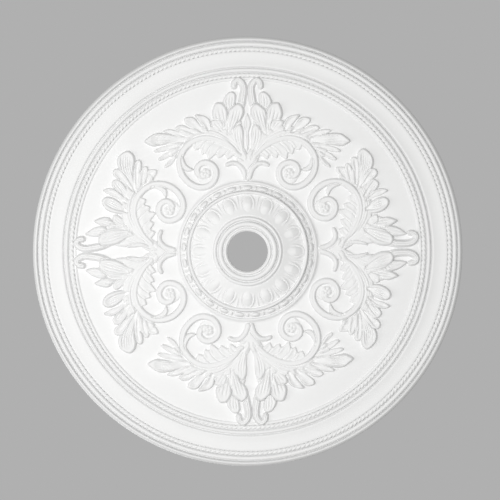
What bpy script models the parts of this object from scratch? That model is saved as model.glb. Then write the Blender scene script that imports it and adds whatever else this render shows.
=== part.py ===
"""Ceiling rose: one round moulded casting, fixed face down to a ceiling.

Metres, +Z up. The flat back lies on the ceiling plane, z = 0, and the face looks down.
The origin is on the back plane, on the axis of the hole that the lamp hangs through.
A depth is how far a face stands below the ceiling plane.
"""
import math

import bmesh
import bpy
from mathutils import Matrix, Vector

# Rim and field, from the outside in
OVERALL_RADIUS = 0.535
RIM_WIDTH = 0.0145
STEP_WIDTH = 0.0128
ROPE_WIDTH = 0.0110
BAND_WIDTH = 0.0412
BAND_FILLET_WIDTH = 0.0125
COVE_WIDTH = 0.0075

# Back: two lands touch the ceiling, with a shallow recess between them
EDGE_LAND_WIDTH = 0.030
HOLE_LAND_WIDTH = 0.028
RECESS_DEPTH = 0.005
RECESS_SLOPE = 0.004

# Hub, from the hole out
HOLE_RADIUS = 0.050
LIP_WIDTH = 0.0096
ROLL_WIDTH = 0.0154
EYE_TORUS_WIDTH = 0.0100
EGG_MARGIN = 0.0044
EGG_LENGTH = 0.0516
HUB_TORUS_WIDTH = 0.0098
BEAD_WIDTH = 0.0153
HUB_EDGE_WIDTH = 0.0200

# Depths below the ceiling plane
EDGE_DEPTH = 0.012
FIELD_DEPTH = 0.014
GROOVE_DEPTH = 0.015
RIM_DEPTH = 0.022
STEP_DEPTH = 0.019
ROPE_DEPTH = 0.021
BAND_DEPTH = 0.017
BEAD_BED_DEPTH = 0.024
HUB_TORUS_DEPTH = 0.036
EGG_FOOT_DEPTH = 0.030
EGG_HEAD_DEPTH = 0.048
EYE_TORUS_DEPTH = 0.056
ROLL_DEPTH = 0.062
LIP_DEPTH = 0.060
BEAD_RING_DEPTH = 0.033
HUB_GROOVE = 0.005

# Carving
EGG_COUNT = 16
EGG_HALF_WIDTH = 0.0165
EGG_HEIGHT = 0.010
EGG_RIM_HALF_WIDTH = 0.0063
EGG_RIM_HEIGHT = 0.0049
EGG_END_GAP = 0.001
EGG_RIM_END_GAP = 0.002
CARVING_SINK = 0.006
QUARTERS = 4
TURN_STEPS = 48
BOSS_SIDES = 6
CREASE_ANGLE = math.radians(30)

# The ornament is drawn in millimetres, across and out from the rose's centre, on a field
# that runs from this radius to that one. It stretches with the real field.
DRAWN_FIELD = (186.0, 424.5)
MM = 0.001

# Proportions of the sections: places across or along, and widths and heights, as shares
BROAD_CREST_SHOULDER = 0.28
LOBE_SECTIONS = ((0.0, 0.6, 0.8), (0.65, 1.0, 1.0))
EGG_SECTIONS = ((0.22, 1.0, 0.9), (0.75, 0.7, 1.0))
EGG_CROWN_SHARE = 0.5
EGG_RIM_CROWN_SHARE = 0.27
BOSS_FOOT_SHARE = 1.2
BOSS_SHOULDER = (0.8, 0.7)

# Radii that follow from the widths
rim_in = OVERALL_RADIUS - RIM_WIDTH
step_in = rim_in - STEP_WIDTH
outer_rope_in = step_in - ROPE_WIDTH
band_in = outer_rope_in - BAND_WIDTH
band_fillet_in = band_in - BAND_FILLET_WIDTH
inner_rope_in = band_fillet_in - ROPE_WIDTH
field_out = inner_rope_in - COVE_WIDTH
lip_out = HOLE_RADIUS + LIP_WIDTH
roll_out = lip_out + ROLL_WIDTH
eye_torus_out = roll_out + EYE_TORUS_WIDTH
egg_in = eye_torus_out + EGG_MARGIN
egg_out = egg_in + EGG_LENGTH
hub_torus_out = egg_out + HUB_TORUS_WIDTH
bead_out = hub_torus_out + BEAD_WIDTH
field_in = bead_out + HUB_EDGE_WIDTH

# Leaf lobes of half a quarter's ornament: root, bend and tip, then half width and height
CREST_LOBES = [
    ((36, 266), (33, 325), (22, 369), 15, 18),
    ((48, 276), (66, 335), (75, 375), 15, 16),
    ((48, 348), (45, 376), (42, 401), 14, 13),
]
WING_LOBES = [
    ((64, 298), (77, 317), (93, 333), 8, 11),
    ((80, 298), (112, 326), (143, 347), 13, 15),
    ((106, 299), (135, 316), (159, 336), 9, 12),
    ((122, 297), (156, 306), (185, 317), 8, 11),
    ((138, 291), (178, 297), (215, 303), 9, 12),
    ((148, 284), (208, 289), (257, 272), 11, 16),
    ((160, 274), (205, 267), (240, 262), 8, 11),
    ((168, 264), (200, 256), (229, 248), 7, 10),
    ((172, 252), (198, 242), (218, 226), 9, 10),
]
INNER_LOBES = [
    ((26, 248), (44, 248), (57, 232), 9, 9),
    ((38, 262), (64, 254), (85, 230), 10, 10),
    ((58, 274), (90, 260), (113, 223), 11, 11),
    ((84, 281), (110, 264), (128, 236), 10, 10),
    ((110, 281), (136, 268), (152, 243), 9, 10),
]
# Stems: points along the middle, then half widths at both ends and the height
STALK = ([(5, 174), (6, 205), (12, 239), (30, 266), (55, 285), (82, 295), (108, 297),
          (136, 291), (160, 277), (176, 258), (185, 236), (187, 214)], 13, 4, 13)
SCROLL = ([(34, 252), (58, 269), (82, 279), (105, 282), (128, 277), (146, 266), (159, 250),
           (168, 232), (170, 212), (165, 193), (154, 177), (138, 165), (119, 159), (100, 161),
           (86, 171), (79, 187), (80, 203), (90, 215), (104, 219), (118, 214), (125, 202)], 9, 8, 13)
SPRIG = ([(12, 244), (18, 272), (24, 300)], 8, 7, 12)
ROOT_LEAF = ([(3, 184), (16, 206), (32, 219), (51, 214)], 9, 5, 10)
HOOK = ([(32, 360), (16, 378), (7, 398), (8, 416), (18, 427), (29, 421), (30, 411)], 9, 6, 14)
SCROLL_EYE = (106, 190, 11, 14)
AXIS_LEAF = ((1, 232), (-1, 285), (1, 340), 9, 9)


def clear_scene():
    for thing in list(bpy.data.objects):
        bpy.data.objects.remove(thing)


def primed_foam():
    """White priming paint on moulded foam."""
    paint = bpy.data.materials.new("white primer")
    paint.use_nodes = True
    shader = paint.node_tree.nodes["Principled BSDF"]
    shader.inputs["Base Color"].default_value = (0.86, 0.87, 0.86, 1.0)
    shader.inputs["Roughness"].default_value = 0.6
    shader.inputs["Metallic"].default_value = 0.0
    return paint


def crest(outer, inner, depth):
    """Crest of a small round moulding between two radii."""
    return [((outer + inner) / 2, depth)]


def broad_crest(outer, inner, depth):
    """Two crest points of a broad round moulding between two radii."""
    shoulder = (outer - inner) * BROAD_CREST_SHOULDER
    return [(outer - shoulder, depth), (inner + shoulder, depth)]


def turned_profile():
    """Radius and depth: down the rim, in across the face, up the hole and out across the back."""
    hub_groove = HUB_TORUS_DEPTH - HUB_GROOVE
    outline = [(OVERALL_RADIUS, 0.0), (OVERALL_RADIUS, EDGE_DEPTH)]
    outline += broad_crest(OVERALL_RADIUS, rim_in, RIM_DEPTH)
    outline += [(rim_in, GROOVE_DEPTH)] + crest(rim_in, step_in, STEP_DEPTH)
    outline += [(step_in, GROOVE_DEPTH)] + crest(step_in, outer_rope_in, ROPE_DEPTH)
    outline += [(outer_rope_in, BAND_DEPTH), (band_in, BAND_DEPTH)]
    outline += crest(band_in, band_fillet_in, STEP_DEPTH)
    outline += [(band_fillet_in, GROOVE_DEPTH)] + crest(band_fillet_in, inner_rope_in, ROPE_DEPTH)
    outline += [(inner_rope_in, BAND_DEPTH), (field_out, FIELD_DEPTH), (field_in, FIELD_DEPTH)]
    outline += [(bead_out, BEAD_BED_DEPTH)] + crest(bead_out, hub_torus_out, BEAD_RING_DEPTH)
    outline += [(hub_torus_out, hub_groove)]
    outline += crest(hub_torus_out, egg_out, HUB_TORUS_DEPTH)
    outline += [(egg_out, EGG_FOOT_DEPTH), (egg_in, EGG_HEAD_DEPTH)]
    outline += crest(eye_torus_out, roll_out, EYE_TORUS_DEPTH)
    outline += [(roll_out, EYE_TORUS_DEPTH - HUB_GROOVE)]
    outline += broad_crest(roll_out, lip_out, ROLL_DEPTH)
    outline += [(lip_out, LIP_DEPTH - HUB_GROOVE)] + crest(lip_out, HOLE_RADIUS, LIP_DEPTH)
    outline += [(HOLE_RADIUS, LIP_DEPTH - HUB_GROOVE), (HOLE_RADIUS, 0.0)]
    recess_in = HOLE_RADIUS + HOLE_LAND_WIDTH
    recess_out = OVERALL_RADIUS - EDGE_LAND_WIDTH
    outline += [(recess_in, 0.0), (recess_in + RECESS_SLOPE, RECESS_DEPTH)]
    outline += [(recess_out - RECESS_SLOPE, RECESS_DEPTH), (recess_out, 0.0)]
    return outline


def turned_body():
    """The plate, rim mouldings and hub, turned about the hole's axis."""
    outline = turned_profile()
    mesh = bpy.data.meshes.new("ceiling_rose")
    half_step = math.pi / TURN_STEPS
    points = [(radius * math.cos(half_step), radius * math.sin(half_step), -depth)
              for radius, depth in outline]
    edges = [(i, (i + 1) % len(points)) for i in range(len(points))]
    mesh.from_pydata(points, edges, [])
    body = bpy.data.objects.new("ceiling_rose", mesh)
    bpy.context.collection.objects.link(body)
    turn = body.modifiers.new("turn", "SCREW")
    turn.angle = math.tau
    turn.steps = TURN_STEPS
    turn.render_steps = TURN_STEPS
    turn.use_merge_vertices = True
    turn.merge_threshold = 0.0001
    return body


def loft(bm, rings):
    """Closed solid through rings of points; a ring of one point is a tip."""
    loops = [[bm.verts.new(point) for point in ring] for ring in rings]
    faces = []
    for near, far in zip(loops, loops[1:]):
        count = max(len(near), len(far))
        for i in range(count):
            j = (i + 1) % count
            corners = [near[i % len(near)], near[j % len(near)], far[j % len(far)], far[i % len(far)]]
            faces.append(bm.faces.new(list(dict.fromkeys(corners))))
    if len(loops[0]) > 2:
        faces.append(bm.faces.new(loops[0][::-1]))
    if len(loops[-1]) > 2:
        faces.append(bm.faces.new(loops[-1]))
    bmesh.ops.recalc_face_normals(bm, faces=faces)


def along(points, share):
    """Point on a smooth curve through points, at a share of the way along."""
    spans = len(points) - 1
    place = min(share * spans, spans - 1e-9)
    i = int(place)
    t = place - i
    a, b, c, d = (Vector(points[min(max(k, 0), spans)]) for k in (i - 1, i, i + 1, i + 2))
    return 0.5 * (2 * b + (c - a) * t + (2 * a - 5 * b + 4 * c - d) * t * t
                  + (3 * b - a - 3 * c + d) * t ** 3)


def onto_field(across, out):
    """Real place of a point of the drawing."""
    drawn_in, drawn_out = DRAWN_FIELD
    stretch = (field_out - field_in) / (drawn_out - drawn_in)
    return Vector((across * stretch, field_in + (out - drawn_in) * stretch))


def ridge_ring(points, share, half_width, height):
    """Triangular section of a leaf or stem, its feet sunk in the plate."""
    middle = onto_field(*along(points, share))
    ahead = onto_field(*along(points, min(share + 0.01, 1.0)))
    behind = onto_field(*along(points, max(share - 0.01, 0.0)))
    heading = (ahead - behind).normalized()
    side = Vector((-heading.y, heading.x)) * half_width * (height + CARVING_SINK) / height
    foot = -(FIELD_DEPTH - CARVING_SINK)
    return [(*(middle + side), foot), (*middle, -(FIELD_DEPTH + height)), (*(middle - side), foot)]


def lobe(bm, root, bend, tip, half_width, height):
    """Leaf lobe: widest past its middle and rounded to its tip."""
    points = (root, bend, tip)
    rings = [ridge_ring(points, share, half_width * wide * MM, height * high * MM)
             for share, wide, high in LOBE_SECTIONS]
    rings.append([(*onto_field(*tip), -(FIELD_DEPTH - CARVING_SINK))])
    loft(bm, rings)


def stem(bm, points, start_half_width, end_half_width, height, steps):
    """Stem or scroll that follows its points and tapers evenly."""
    rings = []
    for i in range(steps + 1):
        share = i / steps
        half_width = start_half_width + (end_half_width - start_half_width) * share
        rings.append(ridge_ring(points, share, half_width * MM, height * MM))
    loft(bm, rings)


def boss(bm, across, out, radius, height):
    """Faceted button at the scroll's eye."""
    middle = onto_field(across, out)
    rings = []
    turns = [math.tau * k / BOSS_SIDES for k in range(BOSS_SIDES)]
    shoulder_wide, shoulder_high = BOSS_SHOULDER
    for share, depth in ((BOSS_FOOT_SHARE, FIELD_DEPTH - CARVING_SINK),
                         (shoulder_wide, FIELD_DEPTH + height * MM * shoulder_high)):
        reach = radius * share * MM
        rings.append([(middle.x + reach * math.cos(a), middle.y + reach * math.sin(a), -depth)
                      for a in turns])
    rings.append([(middle.x, middle.y, -(FIELD_DEPTH + height * MM))])
    loft(bm, rings)


def half_unit():
    """Half of one quarter's ornament, on the +X side of its axis."""
    bm = bmesh.new()
    for shape in CREST_LOBES + WING_LOBES + INNER_LOBES:
        lobe(bm, *shape)
    stem(bm, *STALK, 7)
    stem(bm, *SCROLL, 13)
    stem(bm, *SPRIG, 2)
    stem(bm, *ROOT_LEAF, 3)
    stem(bm, *HOOK, 4)
    boss(bm, *SCROLL_EYE)
    return bm


def bed_depth(radius):
    """Depth of the cone that carries the eggs."""
    share = (egg_out - radius) / EGG_LENGTH
    return EGG_FOOT_DEPTH + (EGG_HEAD_DEPTH - EGG_FOOT_DEPTH) * share


def egg(bm):
    """Egg on the hub's cone, blunt outside and narrow towards the hole."""
    rings = [[(0.0, egg_out - EGG_END_GAP, -(bed_depth(egg_out) - CARVING_SINK))]]
    for share, wide, high in EGG_SECTIONS:
        radius = egg_out - EGG_LENGTH * share
        half = EGG_HALF_WIDTH * wide
        bed = bed_depth(radius)
        crown = -(bed + EGG_HEIGHT * high)
        foot = -(bed - CARVING_SINK)
        flat = half * EGG_CROWN_SHARE
        rings.append([(half, radius, foot), (flat, radius, crown), (-flat, radius, crown), (-half, radius, foot)])
    rings.append([(0.0, egg_in, -(bed_depth(egg_in) - CARVING_SINK))])
    loft(bm, rings)


def egg_rim(bm):
    """Ridge between two eggs, at the +Y axis."""
    rings = []
    half = EGG_RIM_HALF_WIDTH
    flat = half * EGG_RIM_CROWN_SHARE
    for radius in (egg_out - EGG_RIM_END_GAP, egg_in + EGG_RIM_END_GAP):
        foot = -(bed_depth(radius) - CARVING_SINK)
        crown = -(bed_depth(radius) + EGG_RIM_HEIGHT)
        rings.append([(half, radius, foot), (flat, radius, crown), (-flat, radius, crown), (-half, radius, foot)])
    loft(bm, rings)


def spread(target, source, turns, mirrored=(False,)):
    """Copies of a shape round the hole's axis, into target."""
    shape = bpy.data.meshes.new("shape")
    source.to_mesh(shape)
    source.free()
    for turn in turns:
        for flip in mirrored:
            first_vert = len(target.verts)
            first_face = len(target.faces)
            target.from_mesh(shape)
            target.verts.ensure_lookup_table()
            target.faces.ensure_lookup_table()
            place = Matrix.Rotation(turn, 4, "Z")
            if flip:
                place = place @ Matrix.Scale(-1.0, 4, (1.0, 0.0, 0.0))
                bmesh.ops.reverse_faces(target, faces=target.faces[first_face:])
            bmesh.ops.transform(target, matrix=place, verts=target.verts[first_vert:])
    bpy.data.meshes.remove(shape)


def shape_of(maker):
    bm = bmesh.new()
    maker(bm)
    return bm


def carving():
    """All raised ornament as one object, which is then joined to the turned body."""
    bm = bmesh.new()
    quarter_turns = [math.tau * k / QUARTERS for k in range(QUARTERS)]
    spread(bm, half_unit(), quarter_turns, mirrored=(False, True))
    spread(bm, shape_of(lambda shape: lobe(shape, *AXIS_LEAF)), [0.0])
    pitch = math.tau / EGG_COUNT
    spread(bm, shape_of(egg), [pitch * k for k in range(EGG_COUNT)])
    spread(bm, shape_of(egg_rim), [pitch * (k + 0.5) for k in range(EGG_COUNT)])
    mesh = bpy.data.meshes.new("carving")
    bm.to_mesh(mesh)
    bm.free()
    ornament = bpy.data.objects.new("carving", mesh)
    bpy.context.collection.objects.link(ornament)
    return ornament


def fuse(body, ornament):
    """Join the ornament to the turned body as one solid, smooth but for its creases."""
    join = body.modifiers.new("carving", "BOOLEAN")
    join.operation = "UNION"
    join.solver = "EXACT"
    join.use_self = True
    join.object = ornament
    joined = body.evaluated_get(bpy.context.evaluated_depsgraph_get())
    mesh = bpy.data.meshes.new_from_object(joined)
    body.modifiers.clear()
    body.data = mesh
    bpy.data.objects.remove(ornament)
    mesh.shade_smooth()
    mesh.set_sharp_from_angle(angle=CREASE_ANGLE)


def build():
    clear_scene()
    body = turned_body()
    fuse(body, carving())
    body.data.materials.append(primed_foam())


build()
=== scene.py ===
"""A white moulded ceiling rose, seen from below, with its carving, ropes and finishes.

The drawing is in millimetres as the rose is seen from below: x to the right, y up, and a
depth below the ceiling. Seen from below, the drawing's right is the frame's -X.
"""
import math

import bpy
import numpy as np
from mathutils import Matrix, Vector


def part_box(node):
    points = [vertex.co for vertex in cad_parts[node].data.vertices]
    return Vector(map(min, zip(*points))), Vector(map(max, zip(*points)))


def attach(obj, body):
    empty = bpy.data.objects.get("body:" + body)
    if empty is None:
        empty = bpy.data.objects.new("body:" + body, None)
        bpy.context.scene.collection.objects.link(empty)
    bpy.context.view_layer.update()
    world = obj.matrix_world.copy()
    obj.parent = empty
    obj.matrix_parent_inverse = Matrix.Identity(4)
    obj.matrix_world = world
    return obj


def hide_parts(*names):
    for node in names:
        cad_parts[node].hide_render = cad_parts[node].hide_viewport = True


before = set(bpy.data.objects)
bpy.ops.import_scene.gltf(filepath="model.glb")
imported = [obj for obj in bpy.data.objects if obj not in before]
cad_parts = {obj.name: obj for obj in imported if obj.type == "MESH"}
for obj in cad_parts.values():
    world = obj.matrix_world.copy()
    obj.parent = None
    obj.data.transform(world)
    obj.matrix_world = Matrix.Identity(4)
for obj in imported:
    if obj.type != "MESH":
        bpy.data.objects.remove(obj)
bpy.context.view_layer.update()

NODE = "ceiling_rose"
rose_low, rose_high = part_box(NODE)

# The drawing's own outer radius and depth, and what one drawn millimetre is in the frame
DRAWN_RADIUS = 535.0
DRAWN_DEPTH = 62.0
ACROSS = (rose_high[0] - rose_low[0]) / 2 / DRAWN_RADIUS
DEEP = (rose_high[2] - rose_low[2]) / DRAWN_DEPTH

# Depth of the flat field, radius of the lamp hole, and steps round the turned body
FIELD_DEPTH = 14.0
HOLE_RADIUS = 50.0
BODY_STEPS = 480

# Ropes: middle radius, depth of the middle, cord radius, strands round the ring
OUTER_ROPE = (501.6, 15.6, 5.4, 267)
INNER_ROPE = (437.4, 15.6, 5.4, 234)

# Strands: how many each one slants past in half a turn of the cord, the share of the cord's
# radius that they stand out by, and how round they are
ROPE_LAY = 1.15
ROPE_BULGE = 0.5
ROPE_ROUNDNESS = 0.6

# Mesh of a rope: the share of a half turn that it goes round to each side, sides, steps a strand
ROPE_SHOWN = 0.62
ROPE_SIDES = 12
STRAND_STEPS = 8

# Radius and depth down the hub's cone, and down the ledge under the beads
HUB_CONE = [(140.4, 27.6), (139.0, 27.8), (130.0, 31.6), (112.0, 39.0), (90.0, 47.8), (87.4, 48.6)]
BEAD_LEDGE = [(164.0, 18.6), (158.3, 21.4), (153.0, 24.0), (152.0, 24.2)]

# Eggs: the middle of each, half its length and width, its height
EGG_COUNT = 16
EGG_MIDDLE = 118.5
EGG_HALF_LENGTH = 20.5
EGG_HALF_WIDTH = 12.0
EGG_HEIGHT = 6.0

# Husk round an egg and dart between two: half widths, heights, and the husk's thickness as a share
HUSK_HALF_WIDTH = 15.6
HUSK_HEIGHT = 3.4
HUSK_THICKNESS = 0.14
DART_HALF_WIDTH = 3.2
DART_HEIGHT = 2.0

# Ring that carries the eggs: outer and inner radius, rows, steps an egg, how far its ground
# stands over the cone, how deep its brims are buried, depth of its floor in the body
EGG_BAND = (140.2, 88.2)
EGG_ROWS = 44
EGG_STEPS = 48
EGG_GROUND = 0.8
EGG_BURIED = 8.0
EGG_FLOOR = 14.0

# Beads and the reels between them: half length, half width, height
BEAD_COUNT = 25
BEAD_MIDDLE = 158.3
BEAD = (11.4, 5.4, 7.5)
REEL = (3.2, 4.6, 5.0)
BEAD_BLUNTNESS = 2.3

# Ring that carries the beads: outer and inner radius, rows, steps a bead, how far its ground
# lies under the ledge, depth of its floor in the body
BEAD_BAND = (164.0, 152.6)
BEAD_ROWS = 13
BEAD_STEPS = 40
BEAD_GROUND = 0.6
BEAD_FLOOR = 15.0

# Grid of the palmettes: its step, half its width, its lower and upper end, how far below the
# field it goes, the least thickness, and the height from which it is cast
GRID = 1.36
RELIEF_HALF = 268.0
RELIEF_BOTTOM = 148.0
RELIEF_TOP = 436.0
SUNK = 3.0
LEAST_THICKNESS = 0.5
CAST_FROM = -0.3

# Edge of each leaf: width of the line round it and the share that it cuts of what lies under,
# share of the height that stands up at once, how far inside its outline, slope of its wall, and
# how far in it rounds off
LINE_WIDTH = 2.4
LINE_CUT = 0.6
EDGE_SHARE = 0.5
EDGE_INSET = 1.5
WALL_SLOPE = 5.0
LEAF_ROUNDING = 5.0

# Root of a leaf: the share of its height that it has there, how far from the stalk a wing's
# leaf comes free, and distances so far off that a leaf never does
ROOT_SHARE = 0.72
WING_ROOT = (8.0, 30.0)
NEVER_FREE = (900.0, 1000.0)

# Fine cuts: their width, the share of their length that they die away over, the lowest ground
# that they are cut in and what they leave of it, and their depths as shares of a leaf's height
VEIN_WIDTH = 2.0
VEIN_END = 0.2
VEIN_GROUND = 1.0
VEIN_LEFT = 0.8
WING_VEIN = 0.3
CREST_VEIN = 0.2

# Stems: how much lower they are at the sides, width of a channel, both as shares, and the share
# of their length over which they come free
STEM_FALL = 0.14
CHANNEL_WIDTH = 0.34
STEM_FREEING = 0.08

# Heights on the drawing between which a casting's own spread sets in
SPREAD_START = 284.0
SPREAD_END = 324.0


def linear(hexcode):
    """Linear red, green and blue of an sRGB hex value."""
    shares = [int(hexcode[i:i + 2], 16) / 255 for i in (1, 3, 5)]
    return [s / 12.92 if s <= 0.04045 else ((s + 0.055) / 1.055) ** 2.4 for s in shares]


def to_frame(x, y, depth):
    """Drawn places as an array of points in the frame, in metres."""
    return np.stack([-x * ACROSS, y * ACROSS, -depth * DEEP], axis=-1)


def risen(value, start, end):
    """Share that grows from nought at one value to one at another, and stays within the two."""
    return np.clip((value - start) / (end - start), 0.0, 1.0)


# Meshes

def add_piece(name, points, faces, crease, finishes, finish_of_face=None):
    """A closed mesh from frame points and faces, turned so that its faces point out.

    Edges that bend by more than the crease, in degrees, stay sharp.
    """
    corners = np.asarray(points)
    quads = np.asarray(faces)
    first = corners[quads[:, 0]]
    volume = 0.0
    for b, c in ((1, 2), (2, 3)):
        volume += np.einsum("ij,ij->i", first, np.cross(corners[quads[:, b]], corners[quads[:, c]])).sum()
    if volume < 0:
        quads = quads[:, ::-1]
    mesh = bpy.data.meshes.new(name)
    mesh.from_pydata(corners.tolist(), [], quads.tolist())
    mesh.shade_smooth()
    mesh.set_sharp_from_angle(angle=math.radians(crease))
    for finish in finishes:
        mesh.materials.append(finish)
    if finish_of_face is not None:
        mesh.polygons.foreach_set("material_index", np.asarray(finish_of_face, dtype=np.int32))
    piece = bpy.data.objects.new(name, mesh)
    bpy.context.collection.objects.link(piece)
    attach(piece, "root")
    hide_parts(NODE)


def wrapped_quads(rows, columns):
    """Faces of a grid that closes on itself both ways."""
    row, column = np.meshgrid(np.arange(rows), np.arange(columns), indexing="ij")
    right = (column + 1) % columns
    down = (row + 1) % rows
    return np.stack([row * columns + column, row * columns + right,
                     down * columns + right, down * columns + column], axis=-1).reshape(-1, 4)


def turned(radius, depth, turn):
    """Frame points of a grid given by drawn radius, depth and clockwise turn from the top."""
    radius, depth, turn = np.broadcast_arrays(radius, depth, turn)
    return to_frame(radius * np.sin(turn), radius * np.cos(turn), depth).reshape(-1, 3)


# Turned body

def round_moulding(outer, inner, foot, crest, count=9):
    """Half round moulding from one radius in to another."""
    turn = np.linspace(0.0, math.pi, count)
    middle = (outer + inner) / 2
    half = (outer - inner) / 2
    return [(middle + half * math.cos(t), foot + (crest - foot) * math.sin(t)) for t in turn]


def body_outline():
    """Radius and depth of the face, from the rim in to the hole, and of the back, from the hole out."""
    face = [(535.0, 0.0), (535.0, 1.0), (534.6, 4.4), (533.7, 8.2), (532.3, 12.0), (530.6, 15.2)]
    face += [(528.7, 18.0), (527.0, 20.0), (525.4, 21.2), (524.2, 21.2), (523.2, 19.8), (522.2, 16.0)]
    face += [(521.4, 12.0), (520.6, 9.6), (519.4, 9.8), (518.9, 14.0)]
    face += round_moulding(518.8, 508.6, 15.4, 21.0)
    face += [(508.0, 14.4), (507.2, 13.0), (506.0, 12.8), (501.8, 13.0), (498.0, 12.8), (497.0, 13.4)]
    face += [(496.2, 16.6), (495.0, 17.9), (491.5, 18.2), (488.5, 17.4), (476.0, 17.0), (465.0, 17.3)]
    face += [(462.5, 18.0), (460.0, 18.0), (458.6, 16.4), (457.2, 12.0), (456.2, 10.4), (455.2, 10.8)]
    face += [(454.8, 14.0)]
    face += round_moulding(454.6, 445.2, 15.0, 20.6)
    face += [(444.6, 14.4), (443.6, 12.8), (442.4, 12.8), (437.4, 13.0), (433.6, 12.9), (432.6, 13.6)]
    face += [(431.8, 16.6), (430.6, 17.9), (427.6, 18.2), (426.2, 17.0), (425.2, 15.2)]
    face += [(radius, FIELD_DEPTH) for radius in (424.2, 400.0, 360.0, 300.0, 240.0, 200.0)]
    face += [(182.0, 14.2), (177.0, 14.6), (175.4, 16.0), (174.0, 18.6), (172.4, 20.8)]
    face += [(170.4, 22.0), (168.4, 21.6), (167.2, 19.0), (166.4, 16.0), (165.0, 15.4), (164.0, 16.4)]
    face += [(158.3, 21.4), (153.6, 23.0), (152.4, 19.8), (151.2, 19.4), (150.2, 22.6), (149.7, 27.6)]
    face += round_moulding(149.4, 141.8, 30.0, 36.4)
    face += [(141.4, 29.4), *HUB_CONE, (86.0, 49.2)]
    face += round_moulding(84.8, 76.4, 50.6, 57.0)
    face += [(75.8, 51.4), (74.8, 49.8), (73.8, 50.2), (73.2, 53.4)]
    face += round_moulding(73.0, 60.8, 54.6, 62.6, count=13)
    face += [(60.2, 54.4), (59.4, 53.0), (58.6, 53.6), (58.2, 55.6)]
    face += round_moulding(58.0, 51.0, 56.2, 61.0)
    face += [(50.4, 56.4), (HOLE_RADIUS, 54.0), (HOLE_RADIUS, 30.0), (HOLE_RADIUS, 1.0)]
    back = [(51.0, 0.0), (78.0, 0.0), (82.0, 5.0), (180.0, 5.0), (300.0, 5.0), (420.0, 5.0)]
    back += [(501.0, 5.0), (505.0, 0.0), (534.0, 0.0)]
    return face, back


def turned_body(primer, foam):
    """Plate, rim mouldings and hub, with the raw back."""
    face, back = body_outline()
    outline = np.array(face + back)
    turn = np.linspace(0.0, math.tau, BODY_STEPS, endpoint=False)
    points = turned(outline[:, :1], outline[:, 1:], turn)
    quads = wrapped_quads(len(outline), BODY_STEPS)
    # The strip from the face's last point to the back's first is bare foam too
    raw = np.repeat(np.arange(len(outline)) >= len(face) - 1, BODY_STEPS)
    add_piece("body", points, quads, 50.0, [primer, foam], raw)


# Ropes

def rope(name, ring, finish):
    """Rope moulding: round strands laid at a slant round a cord that is bent to a ring.

    The cord's far side lies in the body, and a plain strip closes the mesh there.
    """
    middle, depth, cord, strands = ring
    around = np.linspace(-ROPE_SHOWN * math.pi, ROPE_SHOWN * math.pi, ROPE_SIDES)[:, None]
    turn = np.linspace(0.0, math.tau, strands * STRAND_STEPS, endpoint=False)
    phase = strands * turn / math.tau - ROPE_LAY * around / math.pi
    swell = np.abs(np.sin(math.pi * phase)) ** ROPE_ROUNDNESS
    reach = cord * (1.0 - ROPE_BULGE + ROPE_BULGE * swell)
    points = turned(middle + reach * np.sin(around), depth + reach * np.cos(around), turn)
    add_piece(name, points, wrapped_quads(ROPE_SIDES, len(turn)), 80.0, [finish])


# Hub

def depth_at(radius, slope):
    """Depth of a slope at a radius, from its corners."""
    radii, depths = zip(*sorted(slope))
    return np.interp(radius, radii, depths)


def mound(along, across, height, bluntness=2.0):
    """Rounded lump: along and across are nought at its middle and one at its edge."""
    return height * np.clip(1.0 - np.abs(along) ** bluntness - across ** 2, 0.0, 1.0) ** 0.5


def closed_ring(name, radii, turns, depths, floor, finish):
    """Carved ring: a grid of depths over radii and turns, closed by a floor under it."""
    radius = np.concatenate([radii, radii[-1:], radii[:1]])[:, None]
    depth = np.concatenate([depths, np.full((2, len(turns)), floor)])
    add_piece(name, turned(radius, depth, turns), wrapped_quads(len(radius), len(turns)), 70.0, [finish])


def egg_ring(finish):
    """Eggs in their arched husks on the hub's cone, with a dart between each two.

    All of them die away toward the hole, each from a radius of its own.
    """
    radii = np.linspace(*EGG_BAND, EGG_ROWS)
    turns = np.linspace(0.0, math.tau, EGG_STEPS * EGG_COUNT, endpoint=False)
    radius = radii[:, None]
    bed = depth_at(radius, HUB_CONE)
    pitch = math.tau / EGG_COUNT
    swing = np.abs((turns + pitch / 2) % pitch - pitch / 2)
    across = swing * radius
    along = (radius - EGG_MIDDLE) / EGG_HALF_LENGTH
    half_width = EGG_HALF_WIDTH * (1.0 + 0.2 * np.clip(along, -1.4, 1.4))
    egg = mound(along, across / half_width, EGG_HEIGHT) * risen(radius, 96.0, 118.0)
    arch = np.hypot(across / HUSK_HALF_WIDTH, np.maximum(along, 0.0) * 0.98)
    legs = 1.0 - 0.10 * np.clip(-along, 0.0, 1.2)
    husk = HUSK_HEIGHT * np.exp(-((arch - legs) / HUSK_THICKNESS) ** 2) * risen(radius, 104.0, 122.0)
    between = (pitch / 2 - swing) * radius
    dart_half = DART_HALF_WIDTH * np.clip((radius - 100.0) / 36.0, 0.1, 1.0)
    dart = DART_HEIGHT * np.clip(1.0 - (between / dart_half) ** 2, 0.0, 1.0) * risen(radius, 110.0, 126.0)
    carved = bed + EGG_GROUND + np.maximum(np.maximum(egg, husk), dart)
    carved[[0, -1]] = bed[[0, -1]] - EGG_BURIED
    closed_ring("egg_ring", radii, turns, carved, EGG_FLOOR, finish)


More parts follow.
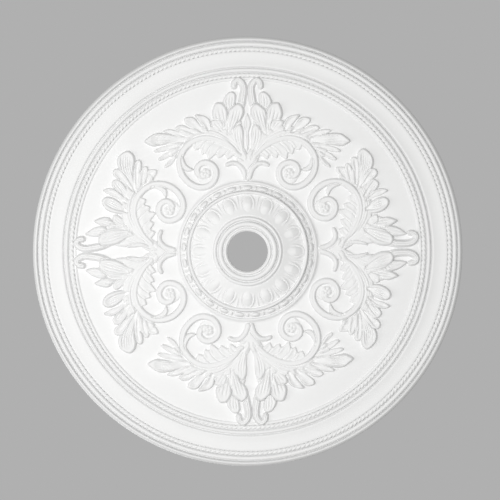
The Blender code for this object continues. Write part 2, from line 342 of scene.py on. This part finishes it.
def bead_ring(finish):
    """Long barrel beads with one thin reel between each two."""
    radii = np.linspace(*BEAD_BAND, BEAD_ROWS)
    turns = np.linspace(0.0, math.tau, BEAD_STEPS * BEAD_COUNT, endpoint=False)
    radius = radii[:, None]
    bed = depth_at(radius, BEAD_LEDGE)
    off = radius - BEAD_MIDDLE
    pitch = math.tau / BEAD_COUNT * BEAD_MIDDLE
    along = np.abs((turns * BEAD_MIDDLE + pitch / 2) % pitch - pitch / 2)
    bead = mound(along / BEAD[0], off / BEAD[1], BEAD[2], BEAD_BLUNTNESS)
    reel = mound((along - pitch / 2) / REEL[0], off / REEL[1], REEL[2])
    carved = bed - BEAD_GROUND + np.maximum(bead, reel)
    closed_ring("bead_ring", radii, turns, carved, BEAD_FLOOR, finish)


# Palmettes

def smooth_line(points, count, closed=False):
    """Points on a smooth curve through a few given ones."""
    given = np.asarray(points, dtype=float)
    number = len(given)
    spans = number if closed else number - 1
    place = np.linspace(0.0, spans, count)
    i = np.minimum(place.astype(int), spans - 1)
    t = (place - i)[:, None]
    around = [(i + k) % number if closed else np.clip(i + k, 0, number - 1) for k in (-1, 0, 1, 2)]
    a, b, c, d = (given[k] for k in around)
    bend = 2 * a - 5 * b + 4 * c - d
    twist = 3 * b - a - 3 * c + d
    return 0.5 * (2 * b + (c - a) * t + bend * t ** 2 + twist * t ** 3)


def beside(line, x, y):
    """How far along a line each point lies, as a share, and how far off to its left."""
    start = line[:-1]
    run = line[1:] - start
    length = np.maximum((run ** 2).sum(axis=1), 1e-9)
    px = x[:, None] - start[:, 0]
    py = y[:, None] - start[:, 1]
    t = np.clip((px * run[:, 0] + py * run[:, 1]) / length, 0.0, 1.0)
    dx = px - t * run[:, 0]
    dy = py - t * run[:, 1]
    gap = dx ** 2 + dy ** 2
    k = gap.argmin(axis=1)
    rows = np.arange(len(x))
    share = (k + t[rows, k]) / len(run)
    turn = run[k, 0] * dy[rows, k] - run[k, 1] * dx[rows, k]
    return share, np.sign(turn) * np.sqrt(gap[rows, k])


def enclosed(line, x, y):
    """Which points lie inside a closed line."""
    ax, ay = line[:-1].T
    bx, by = line[1:].T
    level = (ay[None, :] > y[:, None]) != (by[None, :] > y[:, None])
    run = np.where(by == ay, 1e-9, by - ay)
    crossing = ax + (y[:, None] - ay) * (bx - ax) / run
    return ((level & (x[:, None] < crossing)).sum(axis=1) % 2) == 1


def eased(inside, rounding):
    """Share of full height at a depth inside an edge: steep at the edge, level past the rounding."""
    return 1.0 - (1.0 - risen(inside, 0.0, rounding)) ** 2.2


class Relief:
    """Heights over the field on a square grid of drawn places, for one palmette."""

    def __init__(self):
        across = np.arange(-RELIEF_HALF, RELIEF_HALF + GRID, GRID)
        up = np.arange(RELIEF_BOTTOM, RELIEF_TOP + GRID, GRID)
        self.x, self.y = np.meshgrid(across, up, indexing="ij")
        self.height = np.full(self.x.shape, -2.0 * SUNK)
        self.from_stalk = np.zeros(self.x.shape)

    def measure_from(self, points):
        """Note how far each place is from the stalk that the leaves spring from."""
        gap = beside(smooth_line(points, 40), self.x.ravel(), self.y.ravel())[1]
        self.from_stalk = np.abs(gap).reshape(self.x.shape)

    def near(self, line, reach):
        """Which grid places lie near a line."""
        low = line.min(axis=0) - reach
        high = line.max(axis=0) + reach
        return np.nonzero((self.x > low[0]) & (self.x < high[0]) & (self.y > low[1]) & (self.y < high[1]))

    def lay(self, where, inside, tall, rounding, bound=1.0, line_cut=LINE_CUT):
        """Lay a leaf over what is there: a dark line round it, a steep edge, then its own height.

        Inside is how far within its edge each place lies. Bound is one where the leaf stands free
        and nought where it is one with what lies under it.
        """
        under = self.height[where]
        edge = EDGE_SHARE * tall
        top = edge + (tall - edge) * eased(inside, rounding)
        cut = np.where(under > 0.0, under * (1.0 - line_cut * risen(inside, -LINE_WIDTH, 0.0)), under)
        wall = edge + WALL_SLOPE * inside
        laid = np.where(inside > 0.0, top, np.maximum(cut, wall))
        merged = np.maximum(np.where(inside > 0.0, top, wall), under)
        self.height[where] = bound * laid + (1.0 - bound) * merged

    def groove(self, points, width, depth):
        """Fine cut along a line, which dies away at both ends."""
        line = smooth_line(points, 8 * len(points))
        where = self.near(line, 3.0 * width)
        share, off = beside(line, self.x[where], self.y[where])
        fade = risen(np.minimum(share, 1.0 - share), 0.0, VEIN_END)
        cut = depth * fade * np.exp(-(off / width) ** 2)
        old = self.height[where]
        self.height[where] = np.where(old > VEIN_GROUND, np.maximum(old - cut, VEIN_LEFT), old)


def leaf(relief, outline, height, rounding=LEAF_ROUNDING, rooted=None, dish=0.22):
    """Leaf or petal inside a closed outline, lower in its middle by the dish, a share of its height.

    Nearer the stalk than the first rooted distance it is one with what it grows from, and past
    the second it stands free of it.
    """
    line = smooth_line(outline, 10 * len(outline) + 1, closed=True)
    where = relief.near(line, 6.0)
    x, y = relief.x[where], relief.y[where]
    off = np.abs(beside(line, x, y)[1])
    inside = np.where(enclosed(line, x, y), off, -off) - EDGE_INSET
    tall = height * (1.0 - dish * risen(inside, 0.0, max(inside.max(), 1.0)))
    bound = 1.0
    if rooted is not None:
        bound = risen(relief.from_stalk[where], *rooted)
        tall = tall * (ROOT_SHARE + (1.0 - ROOT_SHARE) * bound)
    relief.lay(where, inside, tall, rounding, bound)


def veins(relief, first, last, count, depth, reach=0.0):
    """Fine cuts spread evenly between two lines of a leaf, drawn back past their roots by a share."""
    first = np.asarray(first, dtype=float)
    last = np.asarray(last, dtype=float)
    for number in range(count):
        share = (number + 0.5) / count
        line = first + share * (last - first)
        root = line[0] - reach * (line[1] - line[0])
        relief.groove(np.vstack([root, line]), VEIN_WIDTH, depth)


def stem(relief, points, start, end, height, channel=0.0, lines=0.0, free=0.0, line_cut=LINE_CUT):
    """Stem or scroll band: a round bar that tapers from one half width to another.

    It can have a channel or fine lines along it, and stands free past a share of its length.
    """
    line = smooth_line(points, 12 * len(points))
    where = relief.near(line, max(start, end) + 5.0)
    share, off = beside(line, relief.x[where], relief.y[where])
    width = start + (end - start) * share
    q = np.clip(off / width, -1.0, 1.0)
    crown = height * (1.0 - STEM_FALL * q * q)
    hollow = channel * np.exp(-(q / CHANNEL_WIDTH) ** 2)
    ridges = lines * np.cos(math.tau * 2.0 * q)
    bound = risen(share, free, free + STEM_FREEING) if free else 1.0
    relief.lay(where, width - np.abs(off), crown - hollow + ridges, LEAF_ROUNDING, bound, line_cut)


def handed(points, side, spread=(0.0, 0.0)):
    """The same points for the drawing's right, side 1, or its left, side -1.

    Spread moves what lies past the stalk outward and up, as the castings differ.
    """
    moved = []
    for x, y in points:
        share = float(risen(y, SPREAD_START, SPREAD_END))
        moved.append((side * (x + share * spread[0]), y + share * spread[1]))
    return moved


# Sheets that carry the leaves, each with its outline and height: inside the coil, behind the
# wing, behind the crest and the foot
SHEETS = [
    ([(103, 216), (116, 212), (126, 200), (128, 186), (120, 172), (106, 164), (92, 168), (82, 180),
      (80, 196), (88, 210)], 5),
    ([(30, 268), (52, 300), (90, 312), (130, 309), (166, 299), (190, 284), (200, 264), (198, 244),
      (188, 232), (178, 250), (166, 266), (146, 280), (120, 290), (90, 292), (60, 282)], 8.5),
    ([(16, 250), (12, 290), (16, 330), (36, 352), (62, 350), (78, 338), (80, 314), (66, 296),
      (44, 270)], 9.5),
]

# Foot of the palmette, then the right half's stalk, scroll, curled leaf and small leaf at its root
FOOT = [(0, 169), (7, 183), (13, 200), (20, 222), (24, 240), (14, 246), (5, 241), (0, 236),
        (-5, 241), (-14, 246), (-24, 240), (-20, 222), (-13, 200), (-7, 183)]
STALK = [(12, 232), (20, 248), (31, 263), (56, 283), (82, 295), (108, 298),
         (136, 292), (160, 278), (176, 259), (183, 238)]
SCROLL = [(20, 240), (38, 257), (60, 270), (84, 279), (106, 281), (128, 276), (146, 265), (159, 250),
          (167, 232), (168, 212), (163, 193), (152, 177), (137, 165), (119, 159), (101, 161),
          (87, 170), (79, 185), (79, 202), (89, 215), (104, 220), (118, 215), (125, 203), (121, 191),
          (112, 186)]
CURL_LEAF = [(161, 240), (154, 222), (147, 212), (138, 207), (133, 202), (140, 198), (151, 198), (160, 205),
             (165, 222)]
ROOT_LEAF = [(4, 184), (11, 203), (24, 216), (38, 219), (50, 215)]

# The two lines between which fine veins rise from the foot to the crest
FLOW = ([(12, 238), (16, 262), (24, 288), (32, 312)], [(26, 250), (50, 277), (78, 297), (108, 306)])

# Leaf under the scroll's arc: its outline with its lobe tips, then the cuts between the lobes, and
# the two lines that each lobe's veins lie between and how many they are
INNER_LEAF = [(6, 222), (18, 242), (36, 259), (60, 274), (84, 283), (106, 286), (128, 281), (147, 270),
              (142, 264), (137, 262), (134, 255), (130, 250), (123, 251), (118, 253), (116, 245),
              (112, 239), (106, 241), (102, 241), (101, 233), (97, 226), (90, 229), (82, 236),
              (78, 238), (76, 233), (72, 230), (64, 233), (57, 238), (54, 233), (50, 227), (42, 230),
              (34, 236), (30, 232), (18, 230)]
LOBE_CUTS = [
    [(33, 239), (26, 245), (18, 246)], [(56, 242), (44, 252), (30, 255)], [(79, 241), (66, 256), (48, 265)],
    [(102, 244), (90, 262), (70, 275)], [(116, 255), (108, 267), (92, 279)],
]
INNER_VEINS = [
    ([(24, 248), (38, 242), (48, 232)], [(30, 253), (43, 247), (51, 235)], 2),
    ([(36, 258), (54, 250), (69, 236)], [(46, 265), (64, 256), (74, 238)], 3),
    ([(52, 268), (74, 254), (92, 232)], [(72, 277), (91, 259), (98, 232)], 4),
    ([(78, 279), (98, 260), (109, 243)], [(92, 283), (107, 264), (114, 244)], 3),
    ([(98, 284), (114, 268), (125, 253)], [(118, 281), (129, 268), (131, 256)], 3),
]

# Crests, broad in the upper and lower castings and slim in the right and left ones. Each leaf has its
# outline, its height, the distances from the stalk between which it comes free or None where it
# is free all over, and the two lines that its veins lie between and how many they are.
BROAD_CREST = [
    ([(28, 375), (27, 387), (32, 396), (40, 398), (49, 394), (57, 384), (62, 373), (60, 364), (53, 355),
      (46, 350), (36, 357), (30, 365)], 14, None,
     ([(37, 358), (32, 376), (35, 392)], [(50, 356), (55, 374), (46, 392)], 3)),
    ([(54, 300), (50, 322), (47, 345), (52, 359), (61, 369), (70, 371), (79, 369), (85, 358), (88, 346),
      (87, 334), (79, 322), (68, 312), (61, 304)], 16, (24, 50),
     ([(52, 306), (52, 330), (57, 360)], [(62, 306), (77, 326), (84, 344)], 3)),
    ([(60, 302), (58, 314), (63, 325), (73, 329), (85, 328), (91, 322), (88, 311), (79, 302),
      (68, 298)], 12, (10, 26),
     ([(60, 304), (64, 314), (70, 325)], [(66, 300), (76, 309), (87, 318)], 2)),
    ([(44, 286), (36, 298), (26, 314), (15, 327), (8, 340), (7, 352), (12, 363), (23, 369), (33, 364),
      (41, 357), (47, 350), (49, 330), (50, 310), (51, 292)], 17, (20, 44),
     ([(38, 296), (20, 324), (12, 350)], [(50, 292), (48, 324), (42, 352)], 4)),
    ([(2, 234), (6, 250), (9, 272), (9, 294), (11, 308), (18, 317), (27, 314), (35, 302), (38, 290),
      (36, 276), (28, 262), (14, 244)], 14, (12, 36),
     ([(8, 252), (12, 280), (14, 306)], [(20, 254), (31, 280), (31, 306)], 3)),
]
SLIM_CREST = [
    ([(32, 344), (29, 360), (29, 378), (35, 396), (45, 386), (54, 370), (57, 354), (50, 342)], 14, None,
     ([(35, 348), (32, 368), (34, 390)], [(50, 348), (52, 362), (40, 388)], 2)),
    ([(58, 306), (55, 326), (53, 345), (58, 360), (68, 374), (75, 363), (79, 348), (77, 336), (70, 326),
      (64, 314)], 16, (24, 50), ([(57, 308), (56, 334), (65, 366)], [(63, 312), (74, 334), (75, 356)], 3)),
    ([(60, 302), (59, 314), (65, 325), (75, 328), (84, 325), (86, 316), (79, 306), (69, 300)], 12, (10, 26),
     ([(61, 304), (66, 316), (72, 324)], [(67, 301), (77, 311), (83, 319)], 2)),
    ([(40, 280), (32, 294), (22, 304), (13, 315), (7, 330), (6, 346), (10, 358), (22, 364), (33, 360),
      (43, 350), (50, 336), (54, 320), (56, 302), (52, 286)], 17, (20, 44),
     ([(40, 296), (18, 328), (12, 354)], [(55, 292), (51, 324), (40, 356)], 4)),
    ([(3, 234), (9, 246), (12, 258), (12, 272), (10, 286), (8, 298), (15, 296), (21, 284), (24, 270),
      (22, 256), (14, 243)], 13, None,
     ([(8, 244), (15, 264), (12, 292)], [(14, 246), (20, 266), (16, 288)], 1)),
]

# Wings, broad in the upper and lower castings and curled in the right and left ones. Each leaf has
# its outline, its height, and the two lines that its veins lie between and how many they are.
BROAD_WING = [
    ([(174, 246), (186, 236), (197, 225), (206, 213), (205, 206), (194, 210), (184, 219), (176, 232)], 10,
     ([(176, 242), (187, 228), (200, 211)], [(178, 244), (192, 231), (203, 213)], 2)),
    ([(166, 258), (184, 253), (204, 245), (216, 236), (223, 229), (217, 224), (204, 228), (188, 236),
      (172, 246)], 11, ([(174, 250), (196, 236), (214, 228)], [(176, 254), (200, 243), (218, 232)], 2)),
    ([(162, 268), (182, 267), (204, 263), (222, 257), (232, 250), (228, 245), (212, 246), (194, 250),
      (172, 256)], 12, ([(172, 258), (200, 251), (224, 247)], [(172, 265), (202, 260), (226, 253)], 3)),
    ([(154, 278), (170, 286), (190, 291), (210, 294), (229, 293), (244, 285), (256, 273), (247, 265),
      (234, 260), (218, 262), (198, 265), (176, 266), (158, 269)], 16,
     ([(172, 269), (206, 266), (238, 265)], [(166, 282), (204, 288), (238, 286)], 5)),
    ([(150, 288), (168, 297), (186, 303), (203, 303), (209, 298), (200, 293), (188, 289), (172, 284),
      (156, 281)], 12, ([(160, 285), (182, 290), (202, 296)], [(156, 288), (180, 298), (204, 300)], 2)),
    ([(128, 296), (143, 307), (157, 314), (171, 314), (180, 307), (175, 300), (163, 295), (148, 289),
      (134, 287)], 12, ([(140, 293), (158, 299), (174, 304)], [(136, 298), (156, 308), (176, 309)], 2)),
    ([(106, 300), (118, 316), (128, 330), (138, 335), (151, 334), (158, 329), (156, 320), (147, 312),
      (134, 303), (120, 296)], 13,
     ([(122, 300), (140, 311), (154, 323)], [(112, 302), (126, 320), (142, 331)], 4)),
    ([(93, 298), (90, 312), (92, 325), (100, 334), (113, 339), (127, 341), (131, 336), (122, 326),
      (112, 313), (103, 301)], 15,
     ([(100, 304), (110, 318), (126, 334)], [(93, 308), (98, 326), (116, 337)], 4)),
]
CURLED_WING = [
    ([(172, 244), (180, 238), (188, 226), (203, 222), (206, 236), (203, 246), (194, 250), (182, 254)], 10,
     ([(176, 244), (190, 234), (202, 228)], [(180, 250), (194, 245), (203, 240)], 3)),
    ([(170, 254), (184, 250), (200, 244), (212, 247), (213, 256), (204, 262), (188, 264), (174, 264)], 11,
     ([(174, 256), (192, 252), (210, 250)], [(174, 262), (194, 260), (209, 256)], 2)),
    ([(164, 268), (182, 268), (196, 266), (207, 260), (225, 261), (230, 270), (222, 279), (204, 281),
      (184, 280)], 12, ([(170, 270), (198, 270), (224, 266)], [(170, 276), (200, 277), (225, 274)], 3)),
    ([(152, 282), (176, 298), (196, 311), (211, 317), (228, 315), (243, 304), (250, 291), (241, 280),
      (224, 276), (206, 280), (184, 280), (160, 274)], 16,
     ([(168, 278), (206, 284), (240, 285)], [(164, 287), (202, 308), (236, 308)], 5)),
    ([(152, 290), (166, 306), (178, 323), (190, 327), (199, 321), (200, 310), (190, 299), (176, 290),
      (160, 285)], 13, ([(162, 289), (182, 302), (196, 314)], [(158, 292), (174, 310), (188, 324)], 3)),
    ([(126, 296), (138, 308), (148, 324), (160, 330), (170, 325), (174, 314), (167, 303), (154, 295),
      (138, 290)], 13, ([(138, 294), (156, 304), (170, 316)], [(132, 300), (146, 316), (160, 327)], 3)),
    ([(118, 300), (126, 316), (132, 334), (143, 352), (150, 340), (149, 326), (142, 312), (130, 300)], 12,
     ([(128, 304), (142, 322), (146, 342)], [(121, 304), (131, 324), (141, 346)], 3)),
    ([(90, 300), (87, 318), (92, 336), (103, 350), (118, 354), (127, 347), (129, 334), (123, 318),
      (113, 306), (102, 299)], 15,
     ([(96, 304), (98, 326), (112, 348)], [(106, 302), (120, 322), (125, 340)], 4)),
]

# Hooked tips of the crests, the spear in the gap between two, and the middle of the coil's eye
# with its radius and height
BROAD_HOOK = [(24, 345), (15, 364), (11, 384), (9, 402), (13, 416), (22, 424), (31, 419), (33, 409)]
SLIM_HOOK = [(17, 345), (12, 366), (11, 385), (12, 400), (17, 412), (27, 418), (35, 413), (37, 405)]
SPEAR = [(0, 246), (3, 258), (5, 276), (4, 294), (8, 306), (10, 318), (6, 332), (0, 344),
         (-6, 332), (-10, 318), (-8, 306), (-4, 294), (-5, 276), (-3, 258)]
SCROLL_EYE = (103, 193)
EYE_RADIUS = 14.0
EYE_HEIGHT = 11.0

# Each casting: crest, wing and hook, how far its crest spreads, whether a spear stands in the
# gap, and its turn out of square in degrees
CASTINGS = (
    ("palmette_top", BROAD_CREST, BROAD_WING, BROAD_HOOK, (0, -1), True, -0.1),
    ("palmette_right", SLIM_CREST, CURLED_WING, SLIM_HOOK, (0, 0), False, -1.2),
    ("palmette_bottom", BROAD_CREST, BROAD_WING, BROAD_HOOK, (1, 4), False, -1.6),
    ("palmette_left", SLIM_CREST, CURLED_WING, BROAD_HOOK, (9, 7), False, -0.4),
)


def scroll_half(relief, side):
    """Sheets, stalk, leaf under the arc and coiled scroll of one side, 1 or -1 as for handed."""
    relief.measure_from(handed(STALK, side))
    for outline, height in SHEETS:
        leaf(relief, handed(outline, side), height, rounding=6.0, dish=0.0)
    stem(relief, handed(STALK, side), start=15, end=7, height=9.5, lines=0.8, free=1.0)
    leaf(relief, handed(INNER_LEAF, side), height=7, rounding=4.0, dish=-0.4)
    for points in LOBE_CUTS:
        relief.groove(handed(points, side), width=1.8, depth=2.8)
    for first, last, count in INNER_VEINS:
        veins(relief, handed(first, side), handed(last, side), count, depth=1.8)
    stem(relief, handed(SCROLL, side), start=8, end=7.5, height=11, channel=1.2, free=0.22, line_cut=0.2)
    coil_eye(relief, side)
    leaf(relief, handed(CURL_LEAF, side), height=11, rounding=4.0)


def leaf_half(relief, side, crest, wing, hook, spread):
    """Root leaf, wing, hook and crest of one side."""
    relief.measure_from(handed(STALK, side))
    stem(relief, handed(ROOT_LEAF, side), start=7, end=5, height=10, lines=0.5)
    veins(relief, handed(FLOW[0], side), handed(FLOW[1], side), count=7, depth=1.8)
    for outline, height, (first, last, count) in wing:
        leaf(relief, handed(outline, side, spread), height, rooted=WING_ROOT)
        veins(relief, handed(first, side, spread), handed(last, side, spread), count,
              depth=WING_VEIN * height, reach=0.5)
    stem(relief, handed(hook, side), start=9.5, end=7, height=14, lines=1.0)
    for outline, height, rooted, (first, last, count) in crest:
        leaf(relief, handed(outline, side, spread), height, rounding=6.0, rooted=rooted, dish=0.12)
        veins(relief, handed(first, side, spread), handed(last, side, spread), count,
              depth=CREST_VEIN * height)


def coil_eye(relief, side):
    """Rosette of five petals round a ring shaped cut, in the middle of the scroll's coil."""
    x = side * relief.x - SCROLL_EYE[0]
    y = relief.y - SCROLL_EYE[1]
    where = np.nonzero(np.hypot(x, y) < EYE_RADIUS + 6.0)
    gap = np.hypot(x, y)[where]
    turn = np.arctan2(y, x)[where]
    petals = 1.4 * np.cos(5 * turn) * risen(gap, 0.0, 8.0)
    fall = 3.0 * (gap / 12.0) ** 2
    cut = 2.0 * np.exp(-((gap - 4.5) / 1.6) ** 2)
    tall = EYE_HEIGHT + petals - fall - cut
    relief.lay(where, EYE_RADIUS - gap, tall, rounding=4.0, bound=0.25)


def filled(keep):
    """Squares to cast, with more added beside any two that would touch at a corner only.

    An added square may touch another one in turn, so there are a few rounds.
    """
    for _ in range(4):
        a, b, c, d = keep[:-1, :-1], keep[1:, :-1], keep[:-1, 1:], keep[1:, 1:]
        crossed = (a & d & ~b & ~c) | (b & c & ~a & ~d)
        for part in (a, b, c, d):
            part |= crossed
    return keep


def closed_relief(name, relief, turn, finish):
    """The raised part of a relief as a closed mesh, its foot sunk in the field."""
    high = relief.height > CAST_FROM
    keep = filled(high[:-1, :-1] | high[1:, :-1] | high[:-1, 1:] | high[1:, 1:])
    rows, columns = relief.x.shape
    number = np.arange(rows * columns).reshape(rows, columns)
    i, j = np.nonzero(keep)
    top = np.stack([number[i, j], number[i + 1, j], number[i + 1, j + 1], number[i, j + 1]], axis=-1)
    below = rows * columns
    faces = [top, top[:, ::-1] + below]
    # Walls stand wherever the next square, off by di and dj, isn't cast
    padded = np.pad(keep, 1)
    for di, dj, first, second in ((-1, 0, 3, 0), (1, 0, 1, 2), (0, -1, 0, 1), (0, 1, 2, 3)):
        edge = ~padded[i + 1 + di, j + 1 + dj]
        near = top[edge, first]
        far = top[edge, second]
        faces.append(np.stack([far, near, near + below, far + below], axis=-1))
    height = np.maximum(relief.height, -SUNK + LEAST_THICKNESS)
    x = np.tile(relief.x.ravel(), 2)
    y = np.tile(relief.y.ravel(), 2)
    depth = FIELD_DEPTH + np.concatenate([height.ravel(), np.full(below, -SUNK)])
    used, faces = np.unique(np.concatenate(faces), return_inverse=True)
    cosine, sine = math.cos(turn), math.sin(turn)
    points = to_frame(x * cosine + y * sine, y * cosine - x * sine, depth)[used]
    add_piece(name, points, faces.reshape(-1, 4), 60.0, [finish])


def palmettes(finish):
    """Four castings, two forms of them, each planted a little out of square as in a hand finish."""
    for quarter, (name, crest, wing, hook, spread, with_spear, off_square) in enumerate(CASTINGS):
        relief = Relief()
        for side in (-1, 1):
            scroll_half(relief, side)
        leaf(relief, FOOT, height=11, rooted=NEVER_FREE, dish=0.0)
        for side in (-1, 1):
            leaf_half(relief, side, crest, wing, hook, spread)
        if with_spear:
            leaf(relief, SPEAR, height=9, rounding=4.0, dish=0.1)
            relief.groove([(0, 252), (0, 290), (0, 334)], width=1.5, depth=1.4)
        closed_relief(name, relief, quarter * math.pi / 2 + math.radians(off_square), finish)


# Finishes

def add_node(tree, kind, settings=None, **links):
    """A node with its settings, each input given as a value or as another node's output.

    An input is named, or called i and its number where several have one name.
    """
    node = tree.nodes.new(kind)
    for key, value in (settings or {}).items():
        setattr(node, key, value)
    for key, value in links.items():
        numbered = key[0] == "i" and key[1:].isdigit()
        socket = node.inputs[int(key[1:]) if numbered else key.replace("_", " ")]
        if isinstance(value, bpy.types.NodeSocket):
            tree.links.new(value, socket)
        else:
            socket.default_value = value
    return node


def per_metre(millimetres):
    """Scale of a pattern whose features are this many millimetres across."""
    return 1000.0 / millimetres


def clouded(name, cloud, detail, roughness, dark, light):
    """A new finish whose colour drifts between two tones, in clouds that many millimetres across."""
    finish = bpy.data.materials.new(name)
    finish.use_nodes = True
    tree = finish.node_tree
    shader = tree.nodes["Principled BSDF"]
    place = add_node(tree, "ShaderNodeTexCoord").outputs["Object"]
    clouds = add_node(tree, "ShaderNodeTexNoise", Vector=place, Scale=per_metre(cloud), Detail=detail,
                      Roughness=roughness).outputs[0]
    tone = add_node(tree, "ShaderNodeMix", {"data_type": "RGBA"}, i0=clouds,
                    i6=(*linear(dark), 1.0), i7=(*linear(light), 1.0))
    tree.links.new(tone.outputs[2], shader.inputs["Base Color"])
    return finish, tree, shader, place, clouds


def white_primer():
    """White acrylic primer, sprayed at the works on moulded foam and left to dry.

    Gives the eye an even matt white. The coat's thickness drifts in clouds of about 110 mm, which
    are a little darker or duller, and its orange peel is about 1 mm across.
    """
    finish, tree, shader, place, clouds = clouded("white primer", 110.0, 4.0, 0.6, "#E9E9E9", "#F0F0F0")
    speck = add_node(tree, "ShaderNodeTexNoise", Vector=place, Scale=per_metre(1.1), Detail=2.0)
    bump = add_node(tree, "ShaderNodeBump", Strength=0.12, Distance=0.0004, Height=speck.outputs[0])
    tree.links.new(bump.outputs[0], shader.inputs["Normal"])
    rough = add_node(tree, "ShaderNodeMapRange", Value=clouds, To_Min=0.52, To_Max=0.66)
    tree.links.new(rough.outputs[0], shader.inputs["Roughness"])
    shader.inputs["IOR"].default_value = 1.46
    return finish


def raw_foam():
    """Rigid polyurethane foam as it leaves the mould, on the back where no primer goes.

    Gives the eye a dull cream with open cells. The real cells are about 0.3 mm, drawn 3 mm so that
    they show, and its skin yellows in clouds of about 170 mm.
    """
    finish, tree, shader, place, _ = clouded("raw foam back", 170.0, 5.0, 0.65, "#E6DCC2", "#F1EAD6")
    cells = add_node(tree, "ShaderNodeTexVoronoi", Vector=place, Scale=per_metre(3.0))
    bump = add_node(tree, "ShaderNodeBump", Strength=0.5, Distance=0.0006, Height=cells.outputs[0])
    tree.links.new(bump.outputs[0], shader.inputs["Normal"])
    shader.inputs["Roughness"].default_value = 0.85
    shader.inputs["IOR"].default_value = 1.45
    return finish


def floor_paint():
    """Pale grey floor paint, rolled on screed in broad strokes.

    Gives the eye a plain matt ground with faint clouds of about 900 mm.
    """
    finish, tree, shader, _, _ = clouded("pale floor", 900.0, 3.0, 0.5, "#D5D5D3", "#DBDBD9")
    shader.inputs["Roughness"].default_value = 0.8
    return finish


# Room

# Lens and sensor in millimetres, the picture's width over the rose's, and how far the rose lies
# off the picture's middle, in metres
LENS = 100.0
SENSOR = 36.0
PICTURE_WIDTH = 500.0 / 431.0
CAMERA_SHIFT = (-0.0059, 0.0032)

# Half the floor's width, and how far it lies below the camera, metres
FLOOR_HALF = 30.0
FLOOR_BELOW = 0.35

# Light from all round: its colour and strength
SKY_COLOUR = "#E4E4E4"
SKY_STRENGTH = 0.56

# Soft square lights that all face the rose: place and side in metres, power in watts
LIGHTS = (
    ("front_light", (0.55, -0.1, -3.1), 1.3, 60.0),
    ("left_light", (2.2, -0.5, -2.0), 1.6, 16.0),
    ("top_light", (1.2, -1.4, 2.2), 2.0, 34.0),
)


def add_softbox(name, place, side, power):
    """Soft square light that faces the rose and isn't seen itself."""
    light = bpy.data.lights.new(name, "AREA")
    light.shape = "SQUARE"
    light.size = side
    light.energy = power
    lamp = bpy.data.objects.new(name, light)
    bpy.context.collection.objects.link(lamp)
    lamp.location = place
    lamp.rotation_mode = "QUATERNION"
    lamp.rotation_quaternion = (-Vector(place)).to_track_quat("-Z", "Y")
    lamp.visible_camera = False


def add_camera():
    """Camera square under the rose, and how far below the ceiling it hangs."""
    across = PICTURE_WIDTH * 2.0 * DRAWN_RADIUS * ACROSS
    distance = across * LENS / SENSOR + FIELD_DEPTH * DEEP
    camera_data = bpy.data.cameras.new("camera")
    camera_data.lens = LENS
    camera_data.sensor_width = SENSOR
    camera = bpy.data.objects.new("camera", camera_data)
    bpy.context.collection.objects.link(camera)
    camera.location = (*CAMERA_SHIFT, -distance)
    camera.rotation_euler = (math.pi, 0.0, math.pi)
    bpy.context.scene.camera = camera
    return distance


def add_floor(low):
    """Pale floor, square and level."""
    floor_mesh = bpy.data.meshes.new("floor")
    corners = [(FLOOR_HALF * x, FLOOR_HALF * y, low) for x, y in ((-1, -1), (1, -1), (1, 1), (-1, 1))]
    floor_mesh.from_pydata(corners, [], [(0, 1, 2, 3)])
    floor = bpy.data.objects.new("floor", floor_mesh)
    bpy.context.collection.objects.link(floor)
    floor_mesh.materials.append(floor_paint())


def studio():
    """Light from all round, camera, floor and the soft lights."""
    scene = bpy.context.scene
    scene.view_settings.view_transform = "Standard"
    world = bpy.data.worlds.new("pale studio")
    scene.world = world
    world.use_nodes = True
    sky = world.node_tree.nodes["Background"]
    sky.inputs["Color"].default_value = (*linear(SKY_COLOUR), 1.0)
    sky.inputs["Strength"].default_value = SKY_STRENGTH
    distance = add_camera()
    add_floor(-distance - FLOOR_BELOW)
    for name, place, side, power in LIGHTS:
        add_softbox(name, place, side, power)


# The whole scene

primer = white_primer()
foam = raw_foam()
turned_body(primer, foam)
rope("outer_rope", OUTER_ROPE, primer)
rope("inner_rope", INNER_ROPE, primer)
egg_ring(primer)
bead_ring(primer)
palmettes(primer)
studio()
